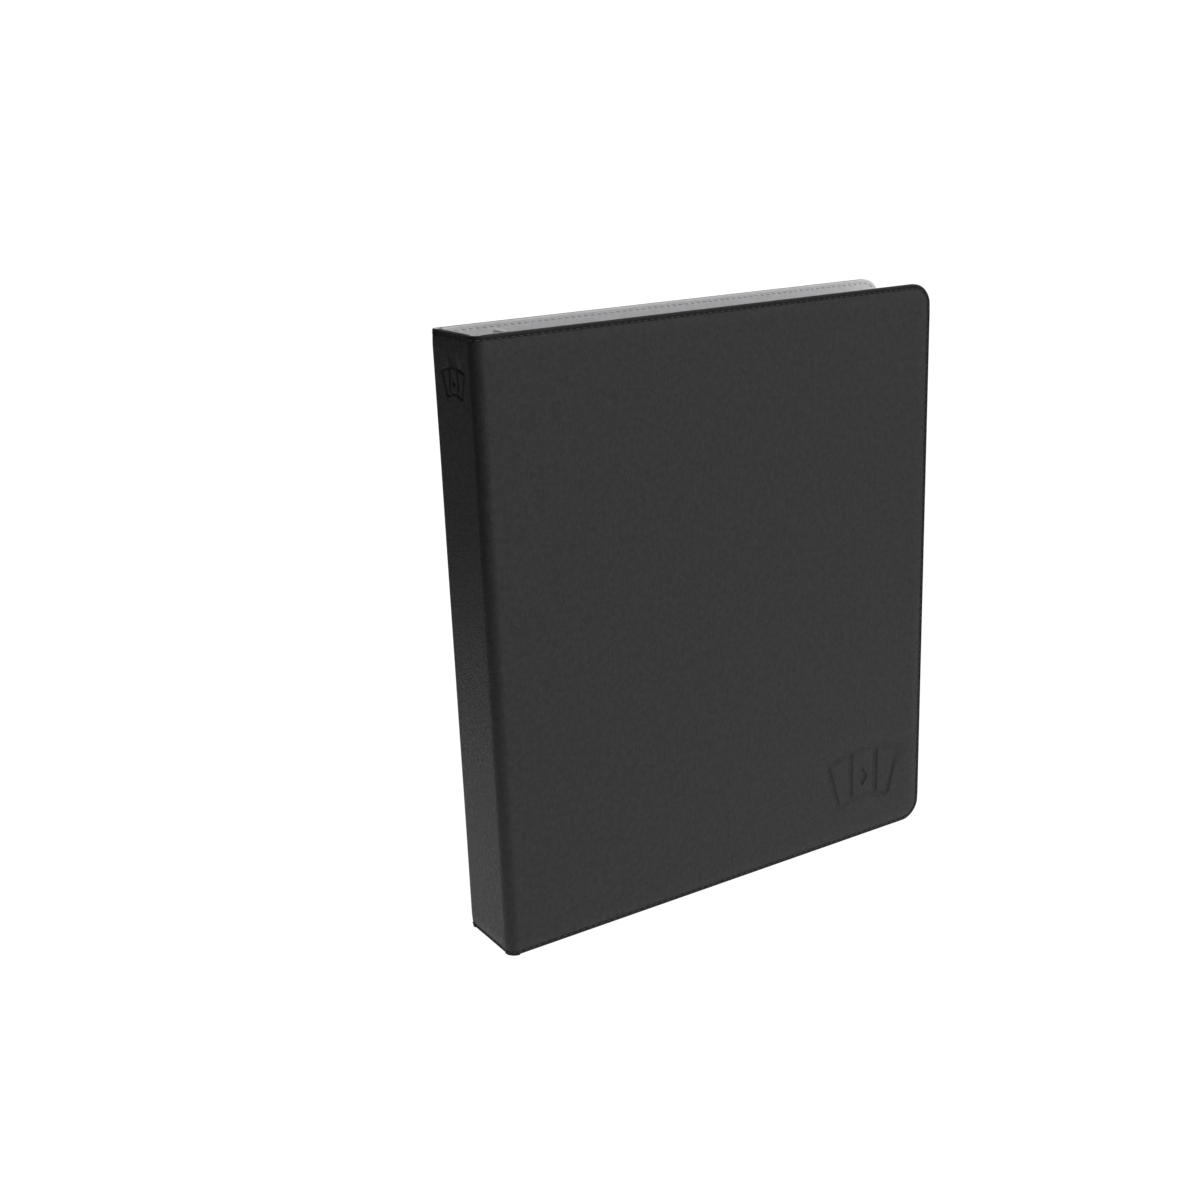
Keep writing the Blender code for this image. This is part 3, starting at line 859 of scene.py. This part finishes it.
def make_camera():
    azimuth, elevation, roll = (math.radians(angle) for angle in CAMERA_TURN)
    back = Vector((math.sin(azimuth) * math.cos(elevation),
                   -math.cos(azimuth) * math.cos(elevation), math.sin(elevation)))
    right = Vector((math.cos(azimuth), math.sin(azimuth), 0.0))
    up = back.cross(right)
    turned_right = math.cos(roll) * right + math.sin(roll) * up
    turned_up = math.cos(roll) * up - math.sin(roll) * right
    axes = Matrix((turned_right, turned_up, back)).transposed()
    data = bpy.data.cameras.new("camera")
    data.lens = LENS
    data.sensor_width = 36.0
    camera = bpy.data.objects.new("camera", data)
    camera.matrix_world = Matrix.Translation(CAMERA_PLACE) @ axes.to_4x4()
    bpy.context.scene.collection.objects.link(camera)
    bpy.context.scene.camera = camera


# ---- assembly --------------------------------------------------------------

def build():
    make_camera()
    make_table()
    make_room()
    make_lights()
    leather = leatherette("leatherette", (0.013, 0.013, 0.013), (0.021, 0.021, 0.021), 0.22)
    # painted shade: a darker, less glossy copy of the leatherette for the pressed edge bands and
    # rims
    painted_shade_leather = leatherette("painted_shade_edge", (0.007, 0.007, 0.007), (0.012, 0.012, 0.012), 0.14)
    lining = microfibre()
    dark_thread = thread("dark_thread", (0.020, 0.020, 0.021))
    light_thread = thread("light_thread", (0.55, 0.55, 0.55))
    nickel = metal("nickel_plate", (0.74, 0.73, 0.71), (0.10, 0.24))
    steel = metal("spring_steel", (0.56, 0.56, 0.57), (0.28, 0.45))
    foam = plain_fibre("foam", (0.16, 0.16, 0.17), (0.26, 0.26, 0.27), 1200.0)
    board = plain_fibre("greyboard", (0.26, 0.24, 0.21), (0.40, 0.37, 0.32), 500.0)
    film = clear_film()
    weld = weld_film()
    make_spine_skin(leather, painted_shade_leather)
    make_spine_lining(lining)
    make_spine_stitching(dark_thread, light_thread)
    dress_node("ring_cover_plate", nickel, 0.12 * MM)
    for part in ("spine", "front_cover", "back_cover"):
        dress_node(f"{part}_foam", foam)
        dress_node(f"{part}_board", board)
    for label, side in SIDES.items():
        make_cover_skin(label, side, leather, painted_shade_leather)
        make_cover_lining(label, side, lining)
        make_cover_stitching(label, side, dark_thread, light_thread)
        dress_node(f"hinge_plate_{label}", steel)
        for height in RINGS:
            make_ring_half(label, side, height, nickel)
        for number in (1, 2, 3):
            make_page(label, number, side, film, weld)
    for end in ENDS:
        dress_node(f"opening_lever_{end}", nickel, 0.25 * MM)
        dress_node(f"lever_pin_{end}", steel, 0.1 * MM)
        dress_node(f"mounting_rivet_{end}", nickel)
        dress_node(f"mounting_post_{end}", steel)


build()
